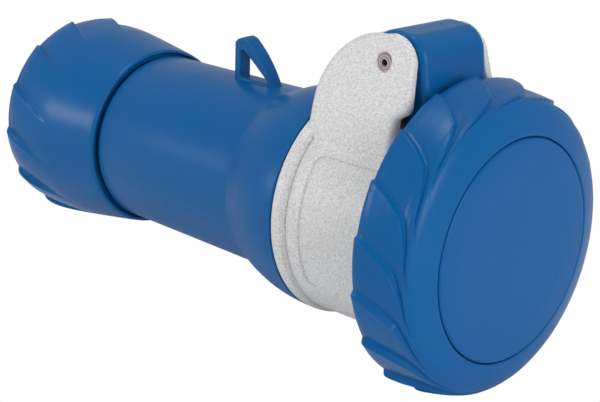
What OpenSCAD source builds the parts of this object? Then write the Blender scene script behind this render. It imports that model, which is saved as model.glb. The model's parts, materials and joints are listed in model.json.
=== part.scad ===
// Watertight pin-and-sleeve connector, 63 A class, with a hinged lid and a bayonet locking ring.
// Frame: +X runs along the body out of the socket mouth, +Z points to the lid hinge.
// The origin is the centre of the socket mouth. All sizes are in millimetres.

/* [Socket sleeve] */
// Outer radius of the front sleeve
sleeve_r = 44.3; // [43.6:0.1:45]
// Radius of the socket bore that takes the mating shroud
socket_r = 40.2; // [39.6:0.1:40.8]
// Depth of the socket behind its mouth
socket_depth = 54; // [48:1:57]
// Length of the sleeve from its mouth to the back of the flange
sleeve_len = 70.4; // [69:0.2:74]
// Radius of the flange bead
flange_r = 46.6; // [46.2:0.1:48]
// Width of the flange bead
flange_w = 5.4; // [4:0.2:7]
// Width of the polarising keyway
keyway_w = 9; // [6:0.5:11]
// Depth of the polarising keyway
keyway_depth = 2.4; // [1:0.1:2.8]
// Depth of the side pads sunk into the sleeve
pad_depth = 0.5; // [0.3:0.1:1]

/* [Bayonet] */
// Height of the cam ramps above the sleeve
ramp_h = 4.2; // [3.6:0.1:4.6]
// Angle that each cam ramp covers
ramp_angle = 38; // [30:1:42]
// Thickness of a cam ramp at its thin end
ramp_thin = 3.2; // [2.4:0.1:4]
// Extra thickness of a cam ramp at its thick end
ramp_rise = 1.6; // [0.8:0.1:2]
// Distance from the mouth to the front of the ramps
ramp_start = 4; // [3:0.5:5]

/* [Hinge] */
// Distance of the pin behind the mouth
pin_back = 37.3; // [36:0.1:39]
// Height of the pin above the socket axis
pin_up = 65; // [64:0.1:66]
// Radius of the coiled hinge pin
pin_r = 3.5; // [3:0.1:4]
// Wall of the hinge ears
ear_wall = 4.2; // [3.4:0.1:5]
// Half width between the ears
ear_inner = 18.2; // [17:0.1:18.6]
// Thickness of the hood behind the knuckle
hood_wall = 2.8; // [2:0.1:3.4]
// Radius of the knuckle round the pin
knuckle_r = 11.3; // [10.6:0.1:11.8]

/* [Locking ring] */
// Wall of the locking ring at its widest place
ring_wall = 6.8; // [5.8:0.1:8]
// Distance from the mouth back to the rear rim of the ring
ring_back = 15.5; // [14:0.5:16]
// Distance from the mouth forward to the front face
ring_front = 11; // [10.8:0.1:12.5]
// Radius of the round front disc
disc_r = 42.6; // [40:0.2:43]
// Number of swirl ridges round the ring
ring_ridges = 18; // [15:1:21]
// Depth of the swirl ridges on the ring
ring_ridge_depth = 2; // [1:0.1:2.2]

/* [Rear body] */
// Radius at the front of the bell
bell_r = 46; // [45.6:0.1:46.4]
// Length of the bell
bell_len = 32.6; // [30:0.2:36]
// Radius of the tube where the bell meets it
neck_r = 38.1; // [37.6:0.1:39]
// Radius of the tube at its rear end
tube_r = 36.8; // [36.6:0.1:37.6]
// Length of the tube
tube_len = 84; // [76:1:96]
// Wall of the rear body
body_wall = 3.4; // [2.8:0.1:4]
// Thickness of the hanging lug
lug_t = 6.2; // [4:0.2:8]

/* [Cable gland] */
// Radius of the threaded spigot
spigot_r = 34.5; // [34:0.1:35]
// Length of the threaded spigot
spigot_len = 26; // [22:1:30]
// Radius of the cable hole in the grommet
cable_r = 12; // [9:0.5:14]
// Length of the clamp nut
nut_len = 58.2; // [54:0.2:64]
// Radius of the front rim of the nut
nut_front_r = 39.5; // [39:0.1:40.5]
// Largest radius of the nut
nut_r = 45.3; // [44:0.1:47]
// Radius of the cable entry in the nut
entry_r = 21; // [17:0.5:23]
// Number of swirl ridges round the nut
nut_ridges = 13; // [10:1:16]
// Depth of the swirl ridges on the nut
nut_ridge_depth = 2.2; // [1:0.1:2.6]
// Thickness of the thrust washer
washer_t = 3; // [2:0.2:4]

/* [Contacts] */
// Radius of the contact carrier
carrier_r = 34.8; // [34:0.1:35.2]
// Distance from the mouth to the carrier face
carrier_inset = 7; // [6:0.5:10]
// Radius of the circle that the power contacts lie on
contact_circle_r = 20; // [19:0.2:21]
// Radius of a line or neutral pin
power_pin_r = 4; // [3.5:0.1:4.2]
// Radius of the earth pin
earth_pin_r = 5; // [4.5:0.1:5.3]
// Radius of the pilot pin
pilot_pin_r = 3; // [2.5:0.1:3.2]
// Wall of the contact tubes
contact_wall = 1.7; // [1.4:0.1:2]
// Length of the contact tubes
contact_len = 44; // [40:1:46]

/* [Hidden] */
$fn = 96;

blue = "#175B96";
pale = "#CCCCCC";
dark = "#2A2A2C";
steel = "#9A8F92";
brass = "#C9A64B";

// A little more than nothing, for cuts that run past a face
past = 1;
// Gap between faces that seat on each other
seat = 0.3;
// Gap between faces that slide on each other
slide = 0.4;
// Gap left between parts that are pressed together
press = 0.1;

// ---- Places along the axis ----
flange_x = -sleeve_len;
web_t = 4;
web_x = -socket_depth - web_t;
spigot_in_x = flange_x - 9.6;
bell_x = flange_x - 0.4;
crease_x = bell_x - bell_len;
tube_x = crease_x - tube_len;
thread_x = tube_x - spigot_len;
nut_gap = 1.2;
nut_x = tube_x - nut_gap;
nut_back_x = nut_x - nut_len;

// ---- Small helpers ----
// Points of an arc about c, from angle a to angle b in n steps
function arc(c, r, a, b, n = 12) =
    [for (i = [0:n]) c + r * [cos(a + (b - a) * i / n), sin(a + (b - a) * i / n)]];

// Smooth step from 0 to 1
function ease(t) = let (u = max(0, min(1, t))) u * u * (3 - 2 * u);

// Turns an outline of [x, radius] points about the X axis
module turned(points, angle = 360, middle = 0)
    rotate([0, 90, 0])
        rotate_extrude(angle = angle, start = 180 + middle - angle / 2)
            polygon([for (p = points) [p[1], p[0]]]);

// A tube along X between two places and two radii
module tube(x0, x1, r0, r1) turned([[x0, r0], [x1, r0], [x1, r1], [x0, r1]]);

// A rod along X
module rod(x0, x1, r) translate([x0, 0, 0]) rotate([0, 90, 0]) cylinder(r = r, h = x1 - x0);

// Copies its children to an angle about X, counted from +Z towards -Y
module at_angle(a) rotate([a, 0, 0]) children();

// Draws an outline of [x, z] points as a plate that is w thick about y = 0
module plate_xz(points, w) translate([0, w / 2, 0]) rotate([90, 0, 0]) linear_extrude(w) polygon(points);

// Draws an outline of [y, z] points as a bar between x0 and x1
module bar_yz(points, x0, x1)
    translate([x0, 0, 0]) rotate([90, 0, 90]) linear_extrude(x1 - x0) polygon(points);

// ---- Swirl ridges, shared by the locking ring and the clamp nut ----
// Sawtooth that jumps to 0 just past a ridge and sinks to 1 before the next one
function saw(t) = let (f = t - floor(t)) f < 0.08 ? 1 - f / 0.08 : (f - 0.08) / 0.92;

// Closed solid round the X axis. rows holds [x, radius, ridge depth, ridge lead in degrees].
// Each ridge has its points at the same shares of a pitch, so that its edge stays crisp.
module swirl_solid(rows, ridges, first = 0) {
    shares = [0, 0.08, 0.3, 0.55, 0.8];
    cols = ridges * len(shares);
    function at(i, j) =
        let (s = shares[j % len(shares)], pitch = 360 / ridges, row = rows[i],
            a = first + row[3] + pitch * (floor(j / len(shares)) + s),
            r = row[1] - row[2] * saw(s))
        [row[0], -r * sin(a), r * cos(a)];
    last = len(rows) - 1;
    points = concat([for (i = [0:last]) for (j = [0:cols - 1]) at(i, j)],
        [[rows[0][0], 0, 0], [rows[last][0], 0, 0]]);
    hub = len(rows) * cols;
    sides = [for (i = [0:last - 1]) for (j = [0:cols - 1])
        let (k = (j + 1) % cols, a = i * cols + j, b = i * cols + k)
        each [[a, b, b + cols], [a, b + cols, a + cols]]];
    ends = [for (j = [0:cols - 1]) let (k = (j + 1) % cols)
        each [[hub, k, j], [hub + 1, last * cols + j, last * cols + k]]];
    polyhedron(points, concat(sides, ends));
}

// ---- Front sleeve ----
pad_back = -(socket_depth + 3.5);
pad_corner = 5;
pad_from = 50;
pad_to = 122;
ramp_r = sleeve_r + ramp_h;
ramp_angle_from = 80;
mouth_chamfer = 1;
key_root_r = socket_r + keyway_depth;

// Half width of the hinge block at height z: its outer faces lean inwards
hinge_lean = 0.225;
hinge_foot_w = 30.5;
hinge_foot_z = 30;
function hinge_w(z) = hinge_foot_w - hinge_lean * (z - hinge_foot_z);

pin_x = -pin_back;
pin_z = pin_up;
ear_back_x = -(sleeve_len - 1.4);
hood_r = pin_x - 1.7 - ear_back_x;
ear_top_z = pin_z + 10;
hood_c = [ear_back_x + hood_r, ear_top_z - hood_r];
ear_front_r = 10.5;
ear_front_c = [pin_x + 2.3, ear_top_z - ear_front_r];
hood_lip_x = pin_x - 14.6;
ear_foot_z = 26;

ear_outline = concat(
    arc(hood_c, hood_r, 180, 90, 18),
    arc(ear_front_c, ear_front_r, 90, 6, 10),
    [[pin_x + 15.6, pin_z - 15], [pin_x + 10.6, pin_z - 19], [pin_x + 10.6, ear_foot_z],
        [ear_back_x, ear_foot_z]]);

hood_in_r = hood_r - hood_wall;
hood_lip_a = acos((hood_lip_x - hood_c[0]) / hood_in_r);
hood_hollow = concat(
    arc(hood_c, hood_in_r, 180, hood_lip_a, 14),
    [[hood_lip_x, ear_top_z + past], [past, ear_top_z + past], [past, 0],
        [hood_c[0] - hood_in_r, 0]]);

module hinge_block() {
    high = ear_top_z + past;
    inner_knee = hinge_foot_z + (hinge_foot_w - ear_wall - ear_inner) / hinge_lean;
    function side(z, in) = hinge_w(z) - in;
    difference() {
        intersection() {
            plate_xz(ear_outline, 2 * hinge_foot_w + 20);
            bar_yz([[-side(0, 0), 0], [side(0, 0), 0], [side(high, 0), high], [-side(high, 0), high]],
                -100, 20);
        }
        intersection() {
            plate_xz(hood_hollow, 2 * hinge_foot_w + 20);
            bar_yz([[-side(0, ear_wall), 0], [side(0, ear_wall), 0], [ear_inner, inner_knee],
                [ear_inner, high + past], [-ear_inner, high + past], [-ear_inner, inner_knee]],
                -100, 20);
        }
    }
}

// Pad outline sunk into the side of the sleeve, with round rear corners
module pad_cut() {
    turn = pad_corner / sleeve_r * 180 / PI;
    middle = (pad_from + pad_to) / 2;
    wide = pad_to - pad_from;
    front = -ring_back + 2;
    floor_r = sleeve_r - pad_depth;
    rim = sleeve_r + past;
    turned([[pad_back + pad_corner, floor_r], [front, floor_r], [front, rim],
        [pad_back + pad_corner, rim]], wide, middle);
    turned([[pad_back, floor_r], [pad_back + pad_corner + 0.5, floor_r],
        [pad_back + pad_corner + 0.5, rim], [pad_back, rim]], wide - 2 * turn, middle);
    for (a = [pad_from + turn, pad_to - turn])
        intersection() {
            at_angle(a) translate([pad_back + pad_corner, 0, sleeve_r - 4])
                cylinder(r = pad_corner, h = 8);
            tube(pad_back, pad_back + 2 * pad_corner, floor_r, rim);
        }
}

// One cam ramp: its rear face slopes back, so that the turning ring draws the lid on
module cam_ramp(from) {
    thick = ramp_thin + ramp_rise;
    middle = from + ramp_angle / 2;
    reach = 2 * ramp_r * sin(ramp_angle / 2);
    difference() {
        turned([[-ramp_start - thick, sleeve_r - 1], [-ramp_start, sleeve_r - 1],
            [-ramp_start, ramp_r - 0.5], [-ramp_start - 0.5, ramp_r], [-ramp_start - thick, ramp_r]],
            ramp_angle, middle);
        at_angle(middle) translate([-ramp_start - ramp_thin - ramp_rise * 0.7, 0, 0])
            rotate([0, 0, -atan(ramp_rise / reach) * 1.7]) translate([-20, -reach, sleeve_r - 6])
                cube([20, 2 * reach, 20]);
    }
}

module front_sleeve() color(pale) {
    groove_x = flange_x + flange_w;
    spigot_out_r = bell_r - body_wall - 1.2;
    seal_groove_x = flange_x - 4.6;
    difference() {
        union() {
            turned(concat([[0, 0], [0, sleeve_r - mouth_chamfer],
                [-mouth_chamfer, sleeve_r], [groove_x + 1.6, sleeve_r],
                [groove_x + 0.8, sleeve_r - 0.7], [groove_x, sleeve_r]],
                [for (p = arc([flange_x + flange_w / 2, flange_r - 2.2], 2.2, 60, 120, 4))
                    [p[0] + (p[0] - flange_x - flange_w / 2) * 0.9, p[1]]],
                [[flange_x, flange_r - 1], [flange_x, spigot_out_r],
                    [seal_groove_x + 1.3, spigot_out_r], [seal_groove_x + 1.3, spigot_out_r - 2],
                    [seal_groove_x - 1.3, spigot_out_r - 2], [seal_groove_x - 1.3, spigot_out_r],
                    [spigot_in_x, spigot_out_r], [spigot_in_x, 0]]));
            hinge_block();
            cam_ramp(ramp_angle_from);
            cam_ramp(ramp_angle_from + 180);
        }
        rod(web_x, past, socket_r);
        rod(spigot_in_x - past, web_x + past, socket_r - 1.6);
        translate([-socket_depth, -keyway_w / 2, -key_root_r])
            cube([socket_depth + past, keyway_w, key_root_r - socket_r + 4]);
        at_angle(0) pad_cut();
        mirror([0, 1, 0]) pad_cut();
        translate([pin_x, 0, pin_z]) rotate([90, 0, 0])
            cylinder(r = pin_r + 0.02, h = 4 * hinge_foot_w, center = true);
    }
}

// Floor of the socket: a ring pressed against the step in the sleeve; the carrier stands in it
module socket_floor() color(pale)
    tube(web_x + press, -socket_depth, carrier_r + slide, socket_r - press);

// ---- Rear body ----
lug_back_x = crease_x - 34;
lug_top_z = neck_r + 17.2;
lug_len = 26;

// Radius of the bell at a share t of its length, counted from the crease to the flange
function bell_at(t) = neck_r + 0.2 + (bell_r - 0.1 - neck_r - 0.2) * (1 - pow(1 - t, 2));

module hanging_lug() {
    c = [lug_back_x - 22, lug_top_z - 40];
    edge_r = 48.6;
    foot_z = neck_r - body_wall + 0.6;
    wall = 3.8;
    outline = concat([[lug_back_x, foot_z], [lug_back_x, lug_top_z - 1.6],
        [lug_back_x + 1.6, lug_top_z - 0.6], [lug_back_x + 5, lug_top_z]],
        arc(c, edge_r, 55, 27, 10), [[c[0] + edge_r * cos(27) + 1.4, foot_z]]);
    eye_z = neck_r + 0.5;
    eye = [[lug_back_x + wall, eye_z], [lug_back_x + wall, lug_top_z - 7],
        [lug_back_x + wall + 1.2, lug_top_z - 7.4], [lug_back_x + lug_len - 8, eye_z + 0.4],
        [lug_back_x + lug_len - 8.4, eye_z]];
    difference() {
        plate_xz(outline, lug_t);
        plate_xz(eye, lug_t + 2 * past);
    }
}

module rear_body() color(blue) {
    n = 12;
    steps = [for (i = [0:n]) pow(i / n, 1.6)];
    bore_r = tube_r - body_wall;
    seat_r = bell_r - body_wall - 0.9;
    difference() {
        union() {
            turned(concat([[bell_x, 0], [bell_x, bell_r - 0.6], [bell_x - 0.6, bell_r]],
                [for (i = [n:-1:0]) [crease_x + (bell_len - 2) * steps[i], bell_at(steps[i])]],
                [[crease_x - 0.5, neck_r], [tube_x + 1.2, tube_r], [tube_x, tube_r - 1.2],
                    [tube_x, spigot_r], [thread_x + 1, spigot_r], [thread_x, spigot_r - 1],
                    [thread_x, 0]]));
            hanging_lug();
        }
        turned([[bell_x + past, 0], [bell_x + past, seat_r], [spigot_in_x - 1, seat_r],
            [spigot_in_x - 1, seat_r - 2.4], [crease_x + 8, neck_r - body_wall + 1.4],
            [crease_x, neck_r - body_wall], [tube_x + 3, bore_r], [tube_x, grommet_r - 2.4],
            [tube_x - 4, grommet_r - 2.4], [tube_x - 4, 0]]);
        rod(tube_x - 4 - past, tube_x, grommet_r - 2.4);
        rod(thread_x - past, tube_x - 4, grommet_r + slide);
    }
}

module body_seal() color(dark) {
    wire = 1.1;
    rotate([0, 90, 0]) translate([0, 0, flange_x - 4.6])
        rotate_extrude() translate([bell_r - body_wall - 1.2 - 2 + wire + 0.05, 0]) circle(r = wire, $fn = 32);
}

// ---- Contacts and their carrier ----
carrier_x = -carrier_inset;
carrier_flange_t = 4.6;
carrier_flange_r = socket_r - 2;
collar_in_r = carrier_r - 1.6;
carrier_back_x = web_x - seat - carrier_flange_t;
contact_x = carrier_x - 6;
tube_end_x = contact_x - contact_len;
block_len = 22;
block_x = carrier_back_x - 1.2 - block_len;
// Earth stands at the keyway, line and neutral up beside it, the pilot in the middle
earth_angle = 180;
line_angle = 60;

module contact_hole(pin) {
    turned([[contact_x, 0], [contact_x, pin + 0.6], [carrier_x - 1.2, pin + 1], [carrier_x + 0.1, pin + 2.3],
        [carrier_x + 0.1, 0]]);
    rod(carrier_back_x - past, contact_x + seat, pin + contact_wall + 1.3);
}

module place_contacts() {
    at_angle(line_angle) translate([0, 0, contact_circle_r]) children(0);
    at_angle(-line_angle) translate([0, 0, contact_circle_r]) children(1);
    at_angle(earth_angle) translate([0, 0, contact_circle_r]) children(2);
    children(3);
}

module contact_carrier() color("#3A3C40") difference() {
    union() {
        rod(carrier_back_x, web_x + past, collar_in_r - press);
        rod(web_x, carrier_x - 1, carrier_r);
        turned([[carrier_x - 1, 0], [carrier_x - 1, carrier_r], [carrier_x, carrier_r - 1],
            [carrier_x, 0]]);
    }
    place_contacts() {
        contact_hole(power_pin_r);
        contact_hole(power_pin_r);
        contact_hole(earth_pin_r);
        contact_hole(pilot_pin_r);
    }
}

// Collar pressed on the back of the carrier; it seats on the web inside the sleeve
module carrier_collar() color("#3A3C40")
    tube(carrier_back_x, carrier_back_x + carrier_flange_t, collar_in_r, carrier_flange_r - slide);

module retaining_ring() color(pale) {
    x0 = carrier_back_x - seat;
    difference() {
        tube(x0 - 5, x0, carrier_r - 3, carrier_flange_r - slide);
        for (a = [0:60:300])
            at_angle(a) translate([x0 - 5 - past, -2.5, carrier_flange_r - 4])
                cube([3 + past, 5, 6]);
    }
}

// A turned contact: slotted tube in front, collar, and a square block with its wire hole
module contact(pin) {
    outer = pin + contact_wall;
    block = 2 * outer + 2.2;
    difference() {
        union() {
            turned([[tube_end_x, 0], [tube_end_x, outer], [contact_x - 1, outer],
                [contact_x, outer - 0.8], [contact_x, 0]]);
            rod(block_x + block_len - past, tube_end_x + past, outer);
            translate([block_x, -block / 2, -block / 2]) cube([block_len, block, block]);
        }
        rod(tube_end_x + 3, contact_x + past, pin);
        for (a = [0, 90]) rotate([a, 0, 0])
            translate([contact_x - 16, -0.4, -outer - past]) cube([16 + past, 0.8, 2 * outer + 2 * past]);
        rod(block_x - past, block_x + block_len - 4, pin);
        for (x = [block_x + 5.5, block_x + 14.5])
            translate([x, 0, 0]) cylinder(r = 1.9, h = block);
    }
}

module contact_line() color(brass)
    at_angle(line_angle) translate([0, 0, contact_circle_r]) contact(power_pin_r);
module contact_neutral() color(brass)
    at_angle(-line_angle) translate([0, 0, contact_circle_r]) contact(power_pin_r);
module contact_earth() color(brass)
    at_angle(earth_angle) translate([0, 0, contact_circle_r]) contact(earth_pin_r);
module contact_pilot() color(brass) contact(pilot_pin_r);

// Open spring clips that press a slotted tube on to its pin
module clips(pin) {
    inner = pin + contact_wall;
    difference() {
        union() for (x = [contact_x - 5, contact_x - 11]) tube(x - 1.6, x, inner, inner + 0.9);
        translate([contact_x - 16, -1.2, 0]) cube([16, 2.4, 2 * inner]);
    }
}

module contact_springs() color(steel) place_contacts() {
    clips(power_pin_r);
    clips(power_pin_r);
    clips(earth_pin_r);
    clips(pilot_pin_r);
}

// The two clamping screws of a contact's block
module screw_pair(pin) {
    half = pin + contact_wall + 1.1;
    for (x = [block_x + 5.5, block_x + 14.5])
        translate([x, 0, pin - 1.6]) difference() {
            cylinder(r = 1.85, h = half - pin + 1.2);
            translate([-2, -0.4, half - pin + 0.5]) cube([4, 0.8, 2]);
        }
}

module terminal_screws() color(steel) place_contacts() {
    screw_pair(power_pin_r);
    screw_pair(power_pin_r);
    screw_pair(earth_pin_r);
    screw_pair(pilot_pin_r);
}

// ---- Cable gland ----
grommet_r = 29.6;
washer_x = thread_x - seat - washer_t;
grip_x = washer_x - seat;
grip_ring_t = 4.4;
grip_len = 22;
finger_count = 10;
nut_floor_x = grip_x - grip_len - 0.6;
cone_front_r = 33.2;
cone_back_r = 28.2;

module grommet() color(dark) difference() {
    turned([[tube_x - 4 - seat, 0], [tube_x - 4 - seat, grommet_r - 1.5],
        [tube_x - 5.5 - seat, grommet_r], [thread_x, grommet_r], [thread_x, 0]]);
    rod(thread_x - past, tube_x, cable_r);
    for (x = [tube_x - 9, tube_x - 15]) tube(x - 2.4, x, cable_r - past, cable_r + 2.2);
}

module thrust_washer() color("#E3E0D8") difference() {
    rod(washer_x, washer_x + washer_t, spigot_r - 1);
    rod(washer_x - past, washer_x + washer_t + past, cable_r + 4);
}

// Slotted basket that the nut closes on to the cable
module cord_grip() color("#E3E0D8") {
    back = grip_x - grip_len;
    outer_f = cone_front_r - 1.4;
    outer_b = cone_back_r - 0.7;
    difference() {
        turned([[grip_x, cable_r + 7], [grip_x, outer_f], [grip_x - grip_ring_t, outer_f],
            [back + 1, outer_b], [back, outer_b - 1], [back, cable_r + 6],
            [back + 3, cable_r + 5.2], [back + 6, cable_r + 6], [back + 9, cable_r + 5.6]]);
        for (i = [0:finger_count - 1])
            at_angle(360 / finger_count * i)
                translate([back - past, -1.2, cable_r]) cube([grip_len - grip_ring_t + past, 2.4, 30]);
    }
}

// Ridge lead of the nut in degrees, and the depth that its ridges keep
function nut_lead(t) = 33 * t;
function nut_depth(t) = nut_ridge_depth * (1 - ease((t - 0.12) / 0.46)) * ease((t + 0.07) / 0.09);
function nut_radius(t) = nut_r - (nut_r - nut_front_r) * pow(max(0, t - 0.06) / 0.94, 1.35)
    - 3.6 * pow(max(0, 1 - t / 0.09), 2);

module clamp_nut() color(blue) {
    stations = [0, 0.018, 0.045, 0.09, 0.14, 0.2, 0.27, 0.34, 0.42, 0.5, 0.6, 0.72, 0.84, 0.96, 1];
    rim = 1.4;
    bore_r = spigot_r + slide;
    difference() {
        swirl_solid([for (t = stations)
            [nut_back_x + nut_len * t, nut_radius(t) - (t == 1 ? rim : 0), nut_depth(t), nut_lead(t)]],
            nut_ridges, 6);
        turned([[nut_x + past, 0], [nut_x + past, tube_r + 1.2], [nut_x - 2.2, tube_r + 0.4],
            [nut_x - 2.2, bore_r], [grip_x, bore_r], [grip_x, cone_front_r],
            [nut_floor_x, cone_back_r], [nut_floor_x, 0]]);
        rod(nut_back_x - past, nut_floor_x + past, entry_r);
        turned([[nut_back_x - 0.1, 0], [nut_back_x - 0.1, entry_r + 2.1], [nut_back_x + 2, entry_r],
            [nut_back_x + 2, 0]]);
    }
}

// ---- Hinge pin and spring ----
// Coiled spring pin: a strip rolled up, so that its end shows a spiral seam
module hinge_pin() {
    turns = 2.2;
    strip = 1;
    seam = 0.22;
    n = 44;
    function seam_point(i, off) = let (a = 360 * turns * i / n, r = pin_r - off - strip * a / 360 + (i == 0 ? 0.5 : 0))
        [r * cos(a), r * sin(a)];
    length = 2 * hinge_w(pin_z) - 0.8;
    color(steel) translate([pin_x, length / 2, pin_z]) rotate([90, 0, 0]) linear_extrude(length) difference() {
        circle(r = pin_r);
        circle(r = pin_r - strip * turns);
        polygon(concat([for (i = [0:n]) seam_point(i, 0)], [for (i = [n:-1:0]) seam_point(i, seam)]));
    }
}

// Torsion spring: a helix round the pin with a leg to the hood and a leg to the lid
spring_wire = 0.8;
spring_coil_r = 5.4;
spring_turns = 6;
spring_half = 5.6;

module hinge_spring() {
    steps = 16;
    sides = 6;
    n = spring_turns * steps;
    // The coil starts at the rear leg and ends at the front leg
    a0 = 250;
    a1 = a0 - 360 * spring_turns - 70;
    function coil(i) = let (t = i / n, a = a0 + (a1 - a0) * t)
        [pin_x + spring_coil_r * cos(a), -spring_half + 2 * spring_half * t, pin_z + spring_coil_r * sin(a)];
    hood_end = [hood_c[0] - hood_in_r * cos(32) + 1.1, -spring_half, hood_c[1] + hood_in_r * sin(32) - 0.6];
    lid_end = [pin_x + 5.3, spring_half, pin_z - 15.5];
    path = concat([hood_end], [for (i = [0:n]) coil(i)], [lid_end]);
    last = len(path) - 1;
    function dir(i) = let (d = path[min(last, i + 1)] - path[max(0, i - 1)]) d / norm(d);
    function pt(i, j) = let (d = dir(i), u = [0, 1, 0] - d * d[1], un = u / norm(u), v = cross(d, un),
        a = 360 * j / sides) path[i] + spring_wire * (un * cos(a) + v * sin(a));
    points = [for (i = [0:last]) for (j = [0:sides - 1]) pt(i, j)];
    walls = [for (i = [0:last - 1]) for (j = [0:sides - 1])
        let (k = (j + 1) % sides, a = i * sides + j, b = i * sides + k)
        each [[a, b + sides, b], [a, a + sides, b + sides]]];
    caps = [[for (j = [0:sides - 1]) j], [for (j = [sides - 1:-1:0]) last * sides + j]];
    color(steel) polyhedron(points, concat(walls, caps));
}

// ---- Lid ----
gasket_t = 3;
lid_x = seat + gasket_t - 1;
lid_t = 3.7;
lid_front_x = lid_x + lid_t;
lid_r = sleeve_r + 1.3;
arm_in_r = sleeve_r + 1.9;
arm_t = 5.2;
arm_half_angle = 21.5;
knuckle_w = 2 * (ear_inner - 0.5);
knuckle_front_x = pin_x + 16.6;
arm_back_x = pin_x + 4.3;
gasket_in_r = sleeve_r - 5.6;
gasket_out_r = sleeve_r + 0.2;
lid_screw_r = 22;
lid_screw_angles = [0, 120, 240];

knuckle_outline = concat(
    arc([pin_x, pin_z], knuckle_r, 250, 84, 20),
    arc([knuckle_front_x - 11.6, pin_z + knuckle_r - 10.6], 10.4, 74, 8, 8),
    [[knuckle_front_x, pin_z - 8], [knuckle_front_x + 0.9, pin_z - 19], [knuckle_front_x + 0.9, 30],
        [arm_back_x, 30], [arm_back_x, pin_z - 12]]);

module lid() color(blue) {
    difference() {
        union() {
            tube(lid_x, lid_front_x, 0, lid_r);
            intersection() {
                turned([[arm_back_x + 3, arm_in_r], [arm_back_x + 3, arm_in_r + arm_t],
                    [-4.4, arm_in_r + arm_t], [0.6, lid_r + 3.3], [4, lid_r + 0.6],
                    [lid_front_x - 0.4, lid_r - 0.6], [lid_front_x - 0.4, lid_r - 6],
                    [lid_x, lid_r - 6], [lid_x, lid_r], [seat + 0.5, arm_in_r]],
                    2 * arm_half_angle + 20, 0);
                translate([-60, -knuckle_w / 2, 0]) cube([80, knuckle_w, 80]);
            }
            difference() {
                plate_xz(knuckle_outline, knuckle_w);
                rod(-60, 0, arm_in_r + 1.2);
            }
            tube(lid_x - 2.2, lid_x + past, 12.4, 14.2);
            for (a = [30:60:330])
                at_angle(a) translate([lid_x - 2, -0.9, 14]) cube([2 + past, 1.8, gasket_in_r - 15]);
        }
        tube(lid_x - past, seat + gasket_t, gasket_in_r, gasket_out_r + 0.2);
        translate([pin_x, 0, pin_z]) rotate([90, 0, 0])
            cylinder(r = pin_r + 0.06, h = knuckle_w + 2 * past, center = true);
        // Chamber of the torsion spring, open to the rear and reaching down to the arm
        translate([pin_x, 0, pin_z]) rotate([90, 0, 0])
            cylinder(r = spring_coil_r + 1.9, h = 2 * spring_half + 4, center = true);
        translate([pin_x - knuckle_r - 2, -spring_half - 2, pin_z - 8.4])
            cube([knuckle_r + 2, 2 * spring_half + 4, 7.8]);
        translate([pin_x - 2.2, -spring_half - 2, pin_z - 16.8])
            cube([8.6, 2 * spring_half + 4, 16]);
        for (a = lid_screw_angles)
            at_angle(a) translate([0, 0, lid_screw_r]) {
                rod(lid_x - past, lid_front_x + past, 2.2);
                rod(lid_x - past, lid_x + 1.4, 4.1);
            }
    }
}

module lid_gasket() color(dark) tube(seat, seat + gasket_t, gasket_in_r + 0.1, gasket_out_r + 0.1);

// ---- Ring retainer: the round front disc with the hub that the ring turns on ----
web_front_x = ring_front - 2.7;
ring_hub_r = 31.7;
ring_web_x = lid_front_x + seat;
disc_edge = 0.5;

module ring_retainer() color(blue) difference() {
    union() {
        turned([[web_front_x + seat, 0], [web_front_x + seat, disc_r], [ring_front - disc_edge, disc_r],
            [ring_front, disc_r - disc_edge], [ring_front, 0]]);
        rod(lid_front_x, web_front_x + 1, ring_hub_r);
    }
    for (a = lid_screw_angles)
        at_angle(a) translate([0, 0, lid_screw_r]) rod(lid_front_x - past, lid_front_x + 3.4, 1.8);
}

module lid_screws() color(steel)
    for (a = lid_screw_angles)
        at_angle(a) translate([0, 0, lid_screw_r]) difference() {
            union() {
                rod(lid_x + 0.2, lid_x + 1.4, 3.8);
                rod(lid_x + 0.2, lid_front_x + 3.2, 1.78);
            }
            translate([lid_x - past, -0.5, -3]) cube([past + 0.8, 1, 6]);
        }

// ---- Locking ring ----
skirt_gap = 2.6;
skirt_r = arm_in_r + arm_t + skirt_gap;
ring_r = skirt_r + ring_wall;
lug_in_r = ramp_r - 1.9;
lug_front_x = -ramp_start - ramp_thin - ramp_rise - seat;
ring_lug_from = 60;
ring_lug_angle = 12;
ring_depth = ring_front + ring_back;

ring_lip = 0.7;

// Outer form, t runs from the rear rim to the groove round the front disc
function ring_x(t) = -ring_back + ring_depth * (t < 0.5 ? 1.25 * t : 1 - pow(2 * (1 - t), 1.7) * 0.375);
function ring_rad(t) = let (u = (ring_x(t) + ring_back) / ring_depth, open = disc_r + 0.6)
    open + ring_lip + (ring_r - open - ring_lip) * pow(max(0, 1 - pow(max(0, (u - 0.2) / 0.8), 4)), 1.54)
    - 1.6 * pow(max(0, 1 - u / 0.16), 2);
// The ridges run nearly straight over the flank and sweep round at the shoulder
function ring_lead(t) = let (u = (ring_x(t) + ring_back) / ring_depth) 6 * u + 34 * pow(u, 5.5);
function ring_ridge(t) = let (u = (ring_x(t) + ring_back) / ring_depth)
    ring_ridge_depth * (1 - ease((u - 0.35) / 0.42));

// Room inside the ring, around the two lugs that run under the cam ramps
module ring_room() difference() {
    turned([[-ring_back - past, 0], [-ring_back - past, skirt_r + 1.6], [-ring_back + 0.6, skirt_r],
        [-4, skirt_r], [1, skirt_r - 3], [4.5, skirt_r - 6.5], [ring_web_x, lid_r + 0.6],
        [ring_web_x, ring_hub_r + slide], [web_front_x, ring_hub_r + slide],
        [web_front_x, disc_r + 0.6], [ring_front + past, disc_r + 0.6], [ring_front + past, 0]]);
    for (a = [ring_lug_from, ring_lug_from + 180])
        turned([[-ring_back + 1.4, lug_in_r], [lug_front_x, lug_in_r], [lug_front_x, skirt_r + 1],
            [-ring_back + 1.4, skirt_r + 1]], ring_lug_angle, a + ring_lug_angle / 2);
}

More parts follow.
